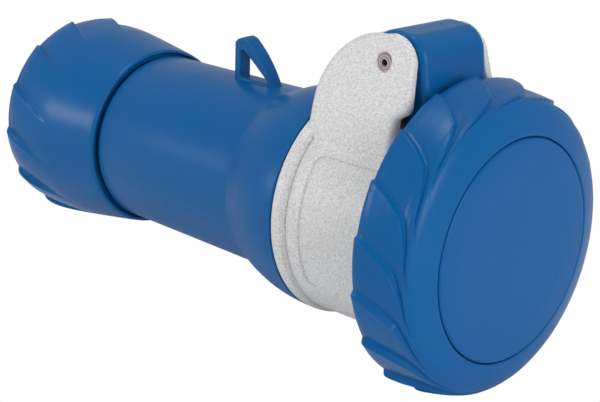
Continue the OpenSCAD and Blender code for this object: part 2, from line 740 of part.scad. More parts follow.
module lock_ring() color(blue) {
    steps = 15;
    difference() {
        swirl_solid([for (i = [0:steps]) let (t = i / steps)
            [ring_x(t), ring_rad(t), ring_ridge(t), ring_lead(t)]], ring_ridges, -2);
        ring_room();
    }
}

front_sleeve();
socket_floor();
rear_body();
body_seal();
contact_carrier();
carrier_collar();
retaining_ring();
contact_line();
contact_neutral();
contact_earth();
contact_pilot();
contact_springs();
terminal_screws();
grommet();
thrust_washer();
cord_grip();
clamp_nut();
hinge_pin();
hinge_spring();
lid();
lid_gasket();
ring_retainer();
lid_screws();
lock_ring();
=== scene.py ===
# %% [markdown]
# # A watertight pin-and-sleeve connector
# The part is moulded in two plastics: a grey sleeve with the hinge, and a blue body, lid,
# locking ring and gland nut. This lesson dresses the solid model. Each outer piece is a surface
# worked out with numpy, so that its edges are as round as a mould leaves them. Shapes are in
# millimetres, and X runs from the cable's end at -247 to the lid's face at 11.

# %% Load the solid model
import bpy
import json
import numpy as np
from mathutils import Matrix

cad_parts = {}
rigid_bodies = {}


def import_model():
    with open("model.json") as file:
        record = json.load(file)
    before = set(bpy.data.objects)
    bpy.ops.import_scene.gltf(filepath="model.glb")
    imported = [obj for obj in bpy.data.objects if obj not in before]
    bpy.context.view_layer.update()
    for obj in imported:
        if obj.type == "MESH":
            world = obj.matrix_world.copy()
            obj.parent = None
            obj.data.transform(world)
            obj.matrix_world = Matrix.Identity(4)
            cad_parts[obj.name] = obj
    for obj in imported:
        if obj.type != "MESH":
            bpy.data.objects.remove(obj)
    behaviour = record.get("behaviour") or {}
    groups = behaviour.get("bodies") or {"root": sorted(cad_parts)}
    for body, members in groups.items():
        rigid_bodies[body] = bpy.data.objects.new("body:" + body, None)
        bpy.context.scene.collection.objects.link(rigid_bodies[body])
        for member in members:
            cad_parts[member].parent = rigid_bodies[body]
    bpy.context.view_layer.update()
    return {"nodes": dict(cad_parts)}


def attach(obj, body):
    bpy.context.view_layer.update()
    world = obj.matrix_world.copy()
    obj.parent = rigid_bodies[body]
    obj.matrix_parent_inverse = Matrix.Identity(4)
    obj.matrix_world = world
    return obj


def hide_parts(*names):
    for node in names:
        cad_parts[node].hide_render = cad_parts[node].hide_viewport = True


for old in list(bpy.data.objects):
    bpy.data.objects.remove(old)

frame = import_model()
NODE = frame["nodes"]

# %% [markdown]
# ## Colours and nodes
# A colour is written as the eye reads it, in sRGB hex, and one function turns it to the linear
# numbers that the shader wants. One more function adds a shader node with its settings and its
# links, so each material below reads as a short list.

# %% Colour and node helpers
def paint(hex_code):
    """Linear red, green, blue and alpha of an sRGB hex colour: the standard curve, channel by
    channel."""
    c = np.array([int(hex_code[i:i + 2], 16) for i in (1, 3, 5)]) / 255
    c = np.where(c <= 0.04045, c / 12.92, ((c + 0.055) / 1.055) ** 2.4)
    return (*c.tolist(), 1.0)


def feed(owner, node, links):
    """Joins a node's inputs to other nodes' outputs, as {input: (node, output)}."""
    for key, (source, output) in links.items():
        owner.node_tree.links.new(source.outputs[output], node.inputs[key])


def add(owner, kind, links=None, **settings):
    """Adds a node of that kind to a material or a world. settings sets its properties or its
    sockets, with an underscore for a space; links is as in feed."""
    node = owner.node_tree.nodes.new(kind)
    for key, value in settings.items():
        socket = key.replace("_", " ")
        if socket in node.inputs:
            node.inputs[socket].default_value = value
        else:
            setattr(node, key, value)
    feed(owner, node, links or {})
    return node


def blank(name):
    """A new material with only its shader and its output: returns the material and the shader."""
    mat = bpy.data.materials.new(name)
    mat.use_nodes = True
    return mat, mat.node_tree.nodes["Principled BSDF"]


# %% [markdown]
# ## Noise into finish
# All the finishes below share one idea: a noise in the piece's own coordinates drives the
# colour, the roughness and the height together, so a dark speck is also a small dip. A length
# in millimetres becomes the noise's scale, which counts waves in a metre.

# %% Noise helpers
def noise(mat, size_mm, detail, stretch=None, **settings):
    """Noise with waves of size_mm, which stretch, (x, y, z) scales, draws out into lines."""
    place, output = add(mat, "ShaderNodeTexCoord"), "Object"
    if stretch:
        place, output = add(mat, "ShaderNodeMapping", {"Vector": (place, "Object")},
                            Scale=stretch), "Vector"
    return add(mat, "ShaderNodeTexNoise", {"Vector": (place, output)},
               Scale=1000 / size_mm, Detail=detail, **settings)


def two_tone(mat, value, dull, bright, low=0.0, high=1.0):
    """A colour for each value of a noise: dull up to low, bright from high on."""
    tint = add(mat, "ShaderNodeValToRGB", {"Fac": (value, "Fac")})
    first, last = tint.color_ramp.elements
    first.position, last.position = low, high
    first.color, last.color = paint(dull), paint(bright)
    return tint


def gloss(mat, value, at_low, at_high):
    """Roughness from at_low to at_high, over the middle of a noise's range."""
    return add(mat, "ShaderNodeMapRange", {"Value": (value, "Fac")},
               From_Min=0.3, From_Max=0.7, To_Min=at_low, To_Max=at_high)


def bump(mat, value, height, under=None):
    """A bump from a noise, height metres deep, on top of the bump called under."""
    links = {"Height": (value, "Fac")}
    if under:
        links["Normal"] = (under, "Normal")
    return add(mat, "ShaderNodeBump", links, Strength=1.0, Distance=height)


# %% [markdown]
# ## Moulded plastic
# The sleeve is matt polyamide with a fine spark-eroded grain, which shows as tiny pale and dark
# specks about 0.4 mm across. The blue pieces are glass-filled polyamide with a satin skin: their
# surface has a long, very shallow ripple about 6 mm wide from the way the melt froze, and a
# faint grain. The ripple breaks up the highlights, and without it the plastic looks like paint.

# %% Plastic
RIPPLE_MM = 6.5
PLASTIC_IOR = 1.53


def moulded(name, colour, speck, rough, grain_mm, grain_height, ripple_height, spread, shine=0.5):
    """Moulded plastic: base colour with specks of grain_mm, a bump of the same grain, and a
    wide shallow ripple. Heights are in metres. shine is 0.5 for a clean skin, less for a dull
    one."""
    mat, shader = blank(name)
    grain = noise(mat, grain_mm, 3.0, Roughness=0.65)
    ripple = noise(mat, RIPPLE_MM, 1.0)
    feed(mat, shader, {
        "Base Color": (two_tone(mat, grain, speck, colour, 0.5 - spread, 0.5 + spread), "Color"),
        "Roughness": (gloss(mat, grain, rough - 0.04, rough + 0.05), "Result"),
        "Normal": (bump(mat, grain, grain_height, bump(mat, ripple, ripple_height)), "Normal")})
    shader.inputs["IOR"].default_value = PLASTIC_IOR
    shader.inputs["Specular IOR Level"].default_value = shine
    return mat


grey_polyamide = moulded("grey_grained_polyamide", "#DFDFDF", "#BCBCBC", 0.4, 0.75,
                         0.00005, 0.00006, 0.12, 0.3)
blue_polyamide = moulded("blue_satin_polyamide", "#055A96", "#045490", 0.3, 0.7,
                         0.000008, 0.00005, 0.3, 0.14)
carrier_plastic = moulded("dark_glass_filled_polyamide", "#3E4044", "#34363A", 0.5, 0.6,
                          0.00004, 0.00005, 0.2)
nylon = moulded("natural_nylon", "#E4E1D9", "#DAD6CC", 0.42, 0.8, 0.00002, 0.00008, 0.25)
print("plastics:", [m.name for m in bpy.data.materials if "poly" in m.name or "nylon" in m.name])

# %% [markdown]
# ## Seal rubber and metals
# The seals are compression-moulded rubber, matt and a little dusty. The contacts are turned
# brass: the lathe leaves rings 0.25 mm apart round each tube. The hinge pin and the springs are
# drawn and rolled steel with fine lines along the strip, and the screws are bright zinc plate.

# %% Rubber and metal
def rubber_finish():
    """Seal rubber: near-black, rough, with a mottle of 1.2 mm in colour and height."""
    mat, shader = blank("black_seal_rubber")
    mottle = noise(mat, 1.2, 4.0)
    feed(mat, shader, {"Base Color": (two_tone(mat, mottle, "#1E1E20", "#303033"), "Color"),
                       "Normal": (bump(mat, mottle, 0.00003), "Normal")})
    shader.inputs["Roughness"].default_value = 0.72
    return mat


def metal(name, colour, dull, rough, line_mm, along):
    """Metal with fine lines line_mm apart: along, (x, y, z) scales below 1, draws the noise out
    in its direction, and the noise shades the colour, the roughness and the height."""
    mat, shader = blank(name)
    lines = noise(mat, line_mm, 2.0, along)
    feed(mat, shader, {
        "Base Color": (two_tone(mat, lines, dull, colour, 0.35, 0.65), "Color"),
        "Roughness": (gloss(mat, lines, rough + 0.06, rough - 0.04), "Result"),
        "Normal": (bump(mat, lines, 0.000012), "Normal")})
    shader.inputs["Metallic"].default_value = 1.0
    return mat


seal_rubber = rubber_finish()
turned_brass = metal("turned_brass", "#D2AF58", "#BE9A45", 0.26, 0.25, (1, 0.05, 0.05))
coiled_steel = metal("coiled_spring_steel", "#BCB0B5", "#A4989D", 0.48, 0.2, (1, 0.05, 1))
drawn_steel = metal("drawn_spring_steel", "#B4B1AE", "#9E9B98", 0.3, 0.2, (0.1, 1, 0.1))
zinc_steel = metal("zinc_plated_steel", "#C6C3BD", "#B2AFA9", 0.28, 0.3, (1, 0.3, 1))
print("metals:", [m.name for m in (turned_brass, coiled_steel, drawn_steel, zinc_steel)])

# %% [markdown]
# ## A finish for each solid
# Most solids are seen through the socket, the gland or the open lid and keep their own mesh, so
# they only take a finish here. The outer ones take it too, and a new surface stands for each
# of them later on.

# %% Finish of each solid
FINISH = [
    (grey_polyamide, ["front_sleeve", "socket_floor", "retaining_ring"]),
    (blue_polyamide, ["rear_body", "clamp_nut", "lid", "ring_retainer", "lock_ring"]),
    (carrier_plastic, ["contact_carrier", "carrier_collar"]),
    (turned_brass, ["contact_line", "contact_neutral", "contact_earth", "contact_pilot"]),
    (drawn_steel, ["contact_springs", "hinge_spring"]),
    (zinc_steel, ["terminal_screws", "lid_screws"]),
    (seal_rubber, ["body_seal", "grommet", "lid_gasket"]),
    (nylon, ["thrust_washer", "cord_grip"]),
    (coiled_steel, ["hinge_pin"])]
for finish, nodes in FINISH:
    for node in nodes:
        NODE[node].data.materials.clear()
        NODE[node].data.materials.append(finish)
print("finished", sum(len(nodes) for _, nodes in FINISH), "of", len(NODE), "nodes")

# %% [markdown]
# ## Surfaces from arrays
# Every new piece is a grid of points with two parameters. A round piece carries a profile of
# (x, radius) points round the X axis. The grid closes on itself round the axis, and along the
# profile too where the profile is a closed loop, so that no seam or hole is left.

# %% Grid to mesh
def mesh_piece(name, points, quads, finish, body, stands_for=()):
    """A smooth mesh object from points in millimetres and quads, which rides on a body."""
    mesh = bpy.data.meshes.new(name)
    mesh.from_pydata(points * 0.001, [], quads)
    mesh.update()
    mesh.polygons.foreach_set("use_smooth", np.ones(len(mesh.polygons), bool))
    mesh.materials.append(finish)
    piece = bpy.data.objects.new(name, mesh)
    bpy.context.scene.collection.objects.link(piece)
    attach(piece, body)
    if stands_for:
        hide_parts(*stands_for)
    print(f"{name}: {len(points)} points, {len(quads)} faces")
    return piece


def grid_quads(rows, cols, close_rows=False):
    """Quads between neighbours of a rows by cols grid. Columns always close round the axis."""
    i = np.arange(rows if close_rows else rows - 1)[:, None]
    j = np.arange(cols)[None, :]
    k, m = (j + 1) % cols, (i + 1) % rows
    return np.stack([i * cols + j, i * cols + k, m * cols + k, m * cols + j], -1).reshape(-1, 4)


def round_axis(x, radius, phi):
    """Points at places x and radii, turned by phi degrees from +Z towards -Y."""
    a = np.radians(phi)
    return np.stack([x + 0 * a, -radius * np.sin(a), radius * np.cos(a)], -1)


# %% [markdown]
# ## Rounded profiles
# A moulded profile has no sharp corner. A profile is therefore written as corner points, each
# with the radius that the mould gives it, and the corners are swapped for arcs before the
# profile is turned round the axis.

# %% Corners and turned pieces
LONGEST = 0.45  # share of a side that one of its corners may take
STRAIGHT = 1.54  # half an angle, in radians, from which a corner counts as straight


def rounded(profile):
    """A profile of (x, r, corner radius) points with each corner swapped for an arc of that
    radius: the arc is tangent to both sides, and takes no more than 45% of either. A corner
    that is nearly straight stays a point."""
    pts = np.array(profile, float)
    p, radii = pts[:, :2], pts[:, 2]
    out = [p[:1]]
    for before, here, after, want in zip(p[:-2], p[1:-1], p[2:], radii[1:-1]):
        u, v = before - here, after - here
        lu, lv = np.linalg.norm(u), np.linalg.norm(v)
        u, v = u / lu, v / lv
        half = np.arccos(np.clip(u @ v, -1, 1)) / 2
        cut = min(want / max(np.tan(half), 1e-6), LONGEST * lu, LONGEST * lv)
        if want <= 0 or half > STRAIGHT:
            out.append(here[None])
            continue
        turn = np.pi / 2 - half
        t = np.linspace(-turn, turn, 2 + int(np.ceil(turn * 4)))[:, None]
        middle = (u + v) / np.linalg.norm(u + v)
        side = (v - u) / np.linalg.norm(v - u)
        r = cut * np.tan(half)
        centre = here + middle * r / np.sin(half)
        out.append(centre - r * middle * np.cos(t) + r * side * np.sin(t))
    out.append(p[-1:])
    return np.concatenate(out)


def revolve(name, profile, finish, body, stands_for, cols):
    """A round piece: a closed profile, listed forwards along the outside and back along the
    inside, turned about the X axis in cols steps."""
    p = np.array(profile)
    phi = np.arange(cols) * 360 / cols
    points = round_axis(p[:, :1], p[:, 1:2], phi[None, :]).reshape(-1, 3)
    return mesh_piece(name, points, grid_quads(len(p), cols, True), finish, body, stands_for)


# %% [markdown]
# Outlines without a corner are smooth curves through a few knots, and a change from one value
# to another eases in and out.

# %% Smooth curves
def ease(t):
    """Smooth step from 0 to 1."""
    t = np.clip(t, 0, 1)
    return t * t * (3 - 2 * t)


def smooth_line(knots, count):
    """Points spaced evenly along a smooth curve through the knots: a Catmull-Rom curve, which
    leaves each knot towards the direction from its neighbour behind to its neighbour in front."""
    k = np.array(knots, float)
    k = np.concatenate([2 * k[:1] - k[1:2], k, 2 * k[-1:] - k[-2:-1]])
    t = np.linspace(0, 1, 12, endpoint=False)[None, :, None]
    a, b, c, d = (k[i:len(k) - 3 + i, None, :] for i in range(4))
    line = 0.5 * (2 * b + (c - a) * t + (2 * a - 5 * b + 4 * c - d) * t ** 2
                  + (3 * b - a - 3 * c + d) * t ** 3)
    line = np.concatenate([line.reshape(-1, 2), k[-2:-1]])
    run = np.concatenate([[0], np.cumsum(np.linalg.norm(np.diff(line, axis=0), axis=1))])
    at = np.linspace(0, run[-1], count)
    return np.stack([np.interp(at, run, line[:, i]) for i in (0, 1)], -1)


# %% [markdown]
# ## Swirl ridges
# The locking ring and the gland nut share one grip: ridges that rise sharply on one side and
# sink slowly on the other, like the teeth of a saw, and that sweep round as they run forward.
# The grid's columns follow the ridges, and they crowd together at the sharp side, so that its
# lip stays crisp. Each row says how deep the ridges are there and how far they have turned.

# %% The shared swirl surface
STEEP = 0.075  # share of a pitch that the steep side takes
CREST = 0.085  # share of a pitch where the slow side starts
SHARES = np.concatenate([np.linspace(0, STEEP, 8)[:-1], np.linspace(STEEP, 0.16, 6)[:-1],
                         np.linspace(0.16, 1, 13)[:-1]])


def sawtooth(f):
    """Depth of the grip from 0 on the lip to 1 in the hollow, for f from 0 to 1 along a pitch:
    a steep smooth step up to the lip, then a slow fall that flattens out."""
    fall = np.clip((f - CREST) / 0.915, 0, 1)
    lip = 0.1 * (1 - np.exp(-((f - CREST) / 0.03).clip(0)))
    return np.where(f < CREST, 1 - ease(f / STEEP), lip + 0.9 * fall ** 1.15)


def swirl(name, rows, ridges, first, finish, body, stands_for):
    """A round piece with swirl ridges. rows holds x, radius, ridge depth and lead in degrees,
    forwards outside and back inside; radius at a column is radius minus depth times sawtooth."""
    rows = np.array(rows)
    pitch = 360 / ridges
    phi = (np.arange(ridges)[:, None] + SHARES[None, :]).ravel() * pitch
    cut = np.tile(sawtooth(SHARES), ridges)
    radius = rows[:, 1:2] - rows[:, 2:3] * cut[None, :]
    angle = first + phi[None, :] + rows[:, 3:4]
    points = round_axis(rows[:, :1], radius, angle).reshape(-1, 3)
    return mesh_piece(name, points, grid_quads(len(rows), len(phi), True), finish, body,
                      stands_for)


# %% [markdown]
# ## Locking ring
# The ring is a dome with a hole for the round front disc. Its flank is nearly upright at the
# rear and rolls over towards the front; there the ridges turn sharply and fade out.

# %% Locking ring
RING_RIDGES = 18
RING_BACK = -15.5
outside = smooth_line(
    [(RING_BACK, 58.9), (-15.1, 60.3), (-14.2, 61.0), (-12, 61.05), (-9, 60.6), (-6, 60.1),
     (-3, 59.5), (-1, 59.0), (1, 58.4), (2.5, 57.85), (4, 57.0), (5.3, 56.1), (6.5, 54.9),
     (7.5, 53.3), (8.4, 51.3), (9.2, 49.0), (9.9, 46.6), (10.4, 44.6), (10.55, 43.7),
     (10.4, 43.2)], 96)
along = outside[:, 0]
lead = np.interp(along, [RING_BACK, -12.5, -5, 1, 3.2, 4.7, 5.3, 7],
                 [-1, 0, 4, 9, 14.5, 22, 30, 40])
depth = 2.2 * np.interp(along, [-15.9, -14.7, -1, 2.5, 5, 6.4, 7.4],
                        [0, 1, 1, 0.82, 0.45, 0.12, 0])
ring_rows = [(x, r, d, a) for (x, r), d, a in zip(outside, depth, lead)]
inside = rounded(
    [(10.4, 43.2, 0), (10.0, 43.1, 0.2), (8.4, 43.1, 0.3), (8.4, 32.2, 0.3), (6.3, 32.2, 0.3),
     (6.3, 46.2, 1), (4.5, 47.5, 1), (1, 51, 1.5), (-4, 54, 1.5), (-14.6, 54, 0.6),
     (-15.3, 55.4, 0.4), (RING_BACK, 56.6, 0.2), (RING_BACK, 58.2, 0)])[1:]
ring_rows += [(x, r, 0, lead[-1] if x > 0 else lead[-1] * (x - RING_BACK) / -RING_BACK)
              for x, r in inside]
swirl("locking_ring", ring_rows, RING_RIDGES, -2.0, blue_polyamide, "ring",
      ["lock_ring"])

# %% [markdown]
# ## Lugs of the bayonet
# Two lugs stand inwards from the ring's skirt. They run under the cam ramps of the sleeve and
# pull the lid on to its gasket. Each is a short rounded bar bent round the axis.

# %% Bent bars
BAR_SIDES = 32
SHARPER = 0.6  # the bar's long edges get this share of the radius of its ends


def bent_bar(name, x0, x1, r0, r1, a0, a1, corner, finish, body, taper=0):
    """A bar with rounded corners that is bent round the X axis, from angle a0 to a1: a rounded
    rectangle in (x, radius), carried round the axis, that shrinks in at both ends. Its rear
    side moves back by taper on the way."""
    t = np.radians(np.arange(BAR_SIDES) * 360 / BAR_SIDES + 5)
    c, s = np.cos(t), np.sin(t)
    turn = np.degrees(corner / ((r0 + r1) / 2))
    ends = np.linspace(0, np.pi / 2, 6)
    angle = np.concatenate([a0 + turn * (1 - np.cos(ends)),
                            np.linspace(a0 + turn, a1 - turn, 14)[1:-1],
                            (a1 - turn * (1 - np.cos(ends)))[::-1]])
    shrink = np.concatenate([corner * (1 - np.sin(ends)), np.zeros(12),
                             (corner * (1 - np.sin(ends)))[::-1]])
    least = min(x1 - x0, r1 - r0) / 2
    rows = []
    for a, d in [(angle[0], least)] + list(zip(angle, shrink)) + [(angle[-1], least)]:
        rear = x0 - taper * ease(1.35 * (a - a0) / (a1 - a0))
        half = np.array([(x1 - rear) / 2, (r1 - r0) / 2])
        mid = np.array([(rear + x1) / 2, (r0 + r1) / 2])
        h = np.maximum(half - d - corner * SHARPER, 0.02)
        soft = max(corner - d, 0.01)
        x = mid[0] + np.sign(c) * h[0] + soft * c * SHARPER
        r = mid[1] + np.sign(s) * h[1] + soft * s * SHARPER
        rows.append(round_axis(x, r, np.full(BAR_SIDES, a)))
    points = np.array(rows).reshape(-1, 3)
    return mesh_piece(name, points, grid_quads(len(rows), BAR_SIDES), finish, body)


for i, start in enumerate((60, 240)):
    bent_bar(f"ring_lug_{i + 1}", -14.1, -9.1, 46.6, 54.6, start, start + 12, 1.0,
             blue_polyamide, "ring")

# %% [markdown]
# ## Gland nut
# The nut is a cone that swells towards the cable. The same saw-tooth ridges stand at its rear
# and fade out half-way along. Inside are the seat of the thread and the cone that squeezes the
# cord grip.

# %% Gland nut
NUT_RIDGES = 13
nut_line = smooth_line(
    [(-246.6, 40.6), (-246.2, 42.4), (-245, 44.2), (-243, 45.4), (-239, 46.0), (-233, 45.7),
     (-226, 44.8), (-217, 43.6), (-204, 41.7), (-194, 40.2), (-190, 39.5), (-189.1, 39.2),
     (-188.7, 38.8)], 90)
back = nut_line[:, 0]
nut_lead = np.interp(back, [-247, -240, -216, -200], [-4.2, 0, 14.5, 24])
nut_depth = 2.5 * (1 - ease((back + 242) / 27)) * ease((back + 247.3) / 4.5)
nut_rows = [(x, r, d, a) for (x, r), d, a in zip(nut_line, nut_depth, nut_lead)]
nut_inside = rounded(
    [(-188.7, 38.8, 0), (-188.6, 38.1, 0.3), (-190.8, 37.3, 0.3), (-190.8, 35.2, 0.3),
     (-215.8, 35.2, 0.5), (-216.2, 33.4, 0.3), (-239.4, 28.4, 0.5), (-239.4, 21.2, 0.6),
     (-244.4, 21.2, 0.6), (-246.7, 23.4, 0.5), (-246.8, 39.2, 0)])[1:]
nut_rows += [(x, r, 0, np.interp(x, [-246.8, -188.6], [-4.2, 24])) for x, r in nut_inside]
swirl("gland_nut", nut_rows, NUT_RIDGES, 9.7, blue_polyamide, "nut",
      ["clamp_nut"])

# %% [markdown]
# ## Rear body
# The bell swells to the flange like a quarter of an ellipse and meets the tube in a sharp
# hollow crease. The tube tapers a little towards the nut, as a moulded tube must to leave its
# core. A rounded shoulder closes it behind the dark gap in front of the nut.

# %% Rear body
bell = [(x, 38.2 + 7.7 * (1 - (1 - (x + 103) / 32) ** 2)) for x in np.linspace(-102.6, -72.2, 44)]
tube_outside = rounded(
    [(-213.4, 30.2, 0), (-213.4, 33.6, 0.3), (-212.6, 34.5, 0.3), (-187.4, 34.5, 0.3),
     (-187.4, 36.85, 1.3), (-150, 37.2, 0), (-109, 37.7, 4), (-104.2, 38.0, 2),
     (-102.6, 38.35, 0)])[:-1]
body_inside = rounded(
    [(-72.0, 45.9, 0), (-71.1, 46.0, 0.5), (-70.9, 45.2, 0.3), (-70.8, 42.0, 0.2),
     (-81, 42.0, 0.5), (-81, 39.6, 0.5), (-95, 36.6, 1), (-103.4, 34.8, 1), (-184, 33.4, 0.5),
     (-187.4, 27.2, 0.3), (-191.2, 27.2, 0.3), (-191.4, 30.0, 0.3), (-213.2, 30.0, 0)])
revolve("rear_body_shell", np.concatenate([tube_outside, bell, body_inside]), blue_polyamide,
        "connector", ["rear_body"], cols=220)

# %% [markdown]
# ## Solids from a distance field
# The hinge housing, the knuckle and the hanging lug have flat leaning faces, hollows and edges
# rounded by different amounts. A grid with two parameters can't hold such a shape, so these
# three come from a distance field: a function that is negative inside the piece and positive
# outside. Joining two fields with a soft minimum leaves a fillet, and cutting with a soft
# maximum leaves a rounded edge.

# %% Field helpers
def outline_field(points):
    """Signed distance in millimetres to a closed outline, as a function of two arrays: the
    least distance to any side, negative where a ray crosses the outline an odd number of times."""
    p = np.array(points, float)
    q = np.roll(p, -1, 0)

    def field(u, v):
        near = np.full(np.broadcast(u, v).shape, 1e9)
        inside = np.zeros(near.shape, bool)
        for (ax, ay), (bx, by) in zip(p, q):
            ex, ey = bx - ax, by - ay
            t = np.clip(((u - ax) * ex + (v - ay) * ey) / (ex * ex + ey * ey + 1e-12), 0, 1)
            near = np.minimum(near, (u - ax - t * ex) ** 2 + (v - ay - t * ey) ** 2)
            if abs(ey) > 1e-9:
                inside ^= ((ay > v) != (by > v)) & (u < ax + (v - ay) * ex / ey)
        return np.where(inside, -1, 1) * np.sqrt(near)
    return field


def both(a, b, r):
    """What is inside a and b, with the edge where they meet rounded to radius r."""
    outer = np.sqrt(np.maximum(a + r, 0) ** 2 + np.maximum(b + r, 0) ** 2)
    return np.minimum(-r, np.maximum(a, b)) + outer


def either(a, b, r):
    """What is inside a or b, with a fillet of radius r in the corner between them."""
    return -both(-a, -b, r)


def between(v, low, high):
    """Negative where v is between low and high: its distance from the nearer of them."""
    return np.maximum(low - v, v - high)


def arc(cx, cy, r, a, b, n=12):
    """Points of an arc about (cx, cy), from angle a to b in degrees."""
    t = np.radians(np.linspace(a, b, n + 1))
    return [(cx + r * np.cos(s), cy + r * np.sin(s)) for s in t]


# %% [markdown]
# The surface where a field is zero is made into quads in three steps. Each grid edge whose two
# ends lie on different sides is crossed. Each cell with a crossed edge gets one point, and each
# crossed edge becomes a quad between the four cells round it. At the end the points slide down
# the field's slope until they lie on the surface.

# %% Crossed edges and the points of the cells
def crossed_edges(f):
    """For each axis: the low ends of the crossed grid edges, the crossings themselves in grid
    steps, and whether the low end is inside."""
    found = []
    for k in range(3):
        lo = tuple(slice(None, -1) if i == k else slice(None) for i in range(3))
        hi = tuple(slice(1, None) if i == k else slice(None) for i in range(3))
        edge = (f[lo] < 0) != (f[hi] < 0)
        where = np.argwhere(edge)
        a, b = f[lo][edge], f[hi][edge]
        at = where.astype(float)
        at[:, k] += a / (a - b)
        found.append((where, at, a < 0))
    return found


def cells_round(where, first, second, shifts):
    """The cells that touch each edge, one array for each pair of shifts back along two axes."""
    cells = []
    for du, dv in shifts:
        cell = where.copy()
        cell[:, first] -= du
        cell[:, second] -= dv
        cells.append(cell)
    return cells


def cell_points(found, n):
    """One point for each cell of n: the mean of the crossings on its edges. Returns the points
    in grid steps and each cell's number, -1 where it has none."""
    total, count = np.zeros((*(n - 1), 3)), np.zeros(n - 1)
    for k, (where, at, _) in enumerate(found):
        u, v = [i for i in range(3) if i != k]
        for cell in cells_round(where, u, v, ((0, 0), (0, 1), (1, 0), (1, 1))):
            ok = np.all((cell >= 0) & (cell < n - 1), axis=1)
            spot = tuple(cell[ok].T)
            np.add.at(total, spot, at[ok])
            np.add.at(count, spot, 1)
    used = count > 0
    number = np.full(n - 1, -1)
    number[used] = np.arange(used.sum())
    return total[used] / count[used][:, None], number


# %% [markdown]
# The quads are wound so that each faces out of the solid, which is where the field is positive.

# %% Field to mesh
def cell_quads(found, number, n):
    """A quad for each crossed edge, between the points of the four cells round it."""
    quads = []
    for k, (where, _, inner_first) in enumerate(found):
        corner = cells_round(where, (k + 1) % 3, (k + 2) % 3, ((0, 0), (1, 0), (1, 1), (0, 1)))
        ok = np.all([np.all((c >= 0) & (c < n - 1), axis=1) for c in corner], axis=0)
        ring = np.stack([number[tuple(c[ok].T)] for c in corner], -1)
        flip = ~inner_first[ok]
        ring[flip] = ring[flip][:, ::-1]
        quads.append(ring)
    return np.concatenate(quads)


def settle(points, field, step, reach=0.05):
    """Moves points on to the surface by Newton's rule, three times: a point goes back along the
    slope by the field's value over the slope's length squared, and never further than a step."""
    for _ in range(3):
        here = field(*points.T)
        slope = np.stack([(field(*(points + reach * e).T) - here) / reach for e in np.eye(3)], -1)
        steep = np.maximum((slope ** 2).sum(1), 0.25)
        points = points - np.clip(here, -step, step)[:, None] * slope / steep[:, None]
    return points


def field_piece(name, field, low, high, step, finish, body, stands_for=()):
    """The zero surface of a field between the corners low and high, on a grid of that step."""
    axes = [np.arange(a, b + step, step) for a, b in zip(low, high)]
    f = field(*np.meshgrid(*axes, indexing="ij", sparse=True))
    n = np.array(f.shape)
    found = crossed_edges(f)
    points, number = cell_points(found, n)
    points = settle(points * step + np.array([a[0] for a in axes]), field, step)
    return mesh_piece(name, points, cell_quads(found, number, n), finish, body, stands_for)


# %% [markdown]
# ## Hinge housing
# Two ears carry the pin. Their outer faces lean inwards, and a curved hood joins them behind
# the knuckle. The outline below is the ear seen from the side; the lean turns it into a solid,
# and every outer edge is rounded to about 2 mm, which is where the white highlights sit.

# %% Hinge housing
PIN = (-37.3, 65.0)
PIN_HOLE_R = 3.56
LEAN = 0.225  # how much narrower the housing gets for each millimetre up
EAR_WALL = 4.2
EAR_INSIDE = 18.2  # half the room between the ears round the pin
EAR_STEP_Z = 66
ear_side = outline_field(arc(-39, 45, 30, 180, 90, 24) + arc(-35.2, 64.8, 11.0, 90, 4, 12)
                         + [(-22.4, 50.5), (-22.9, 48.6), (-26.9, 46.0), (-26.9, 26), (-69, 26)])
hood_room = outline_field(arc(-39, 45, 27.2, 180, 118.3, 14)
                          + [(-51.9, 90), (30, 90), (30, 0), (-66.2, 0)])


def lean(z):
    """Half width of the housing at height z: 30.5 mm at z = 30, and less above it."""
    return 30.5 - LEAN * (z - 30)


def housing(x, y, z):
    """The leaning block, less the room between the ears and in front of the hood, less the
    sleeve's own bore and the pin hole."""
    w = np.abs(y)
    slant = 1 / np.sqrt(1 + LEAN ** 2)
    block = both(ear_side(x, z), (w - lean(z)) * slant, 2.2)
    inner_wall = np.where(z > EAR_STEP_Z, w - EAR_INSIDE, (w - lean(z) + EAR_WALL) * slant)
    room = both(hood_room(x, z), inner_wall, 0.6)
    solid = both(block, -room, 0.7)
    solid = both(solid, 43.4 - np.sqrt(y ** 2 + z ** 2), 0.2)
    pin_hole = np.sqrt((x - PIN[0]) ** 2 + (z - PIN[1]) ** 2) - PIN_HOLE_R
    return both(solid, -pin_hole, 0.35)


field_piece("hinge_housing", housing, (-71, -34, 24), (-18, 34, 77), 0.62, grey_polyamide,
            "connector")

# %% [markdown]
# ## Grid of the front sleeve
# The sleeve is a tube whose rear end carries a flange with a rolled bead. A shallow pad is sunk
# into each side with round rear corners, and a keyway runs along the bottom of the bore. Both
# are changes of radius on the same grid, and the grid's lines crowd together at their edges.

# %% Pads and keyway
SLEEVE_R = 44.3
BORE_R = 40.2
PAD_FROM, PAD_TO = 50, 122  # degrees from the top, on each side
PAD_BACK = -57.5
PAD_CORNER = 5
KEY_HALF = 6.4  # degrees that the keyway takes on each side of the bottom


def crowd(*edges, reach=0.9, steps=7):
    """Angles packed round each edge, and an even spread of 2.5 degrees between them."""
    near = [np.linspace(e - reach, e + reach, steps) for e in edges]
    return np.unique(np.round(np.concatenate([np.arange(0, 360, 2.5)] + near) % 360, 3))


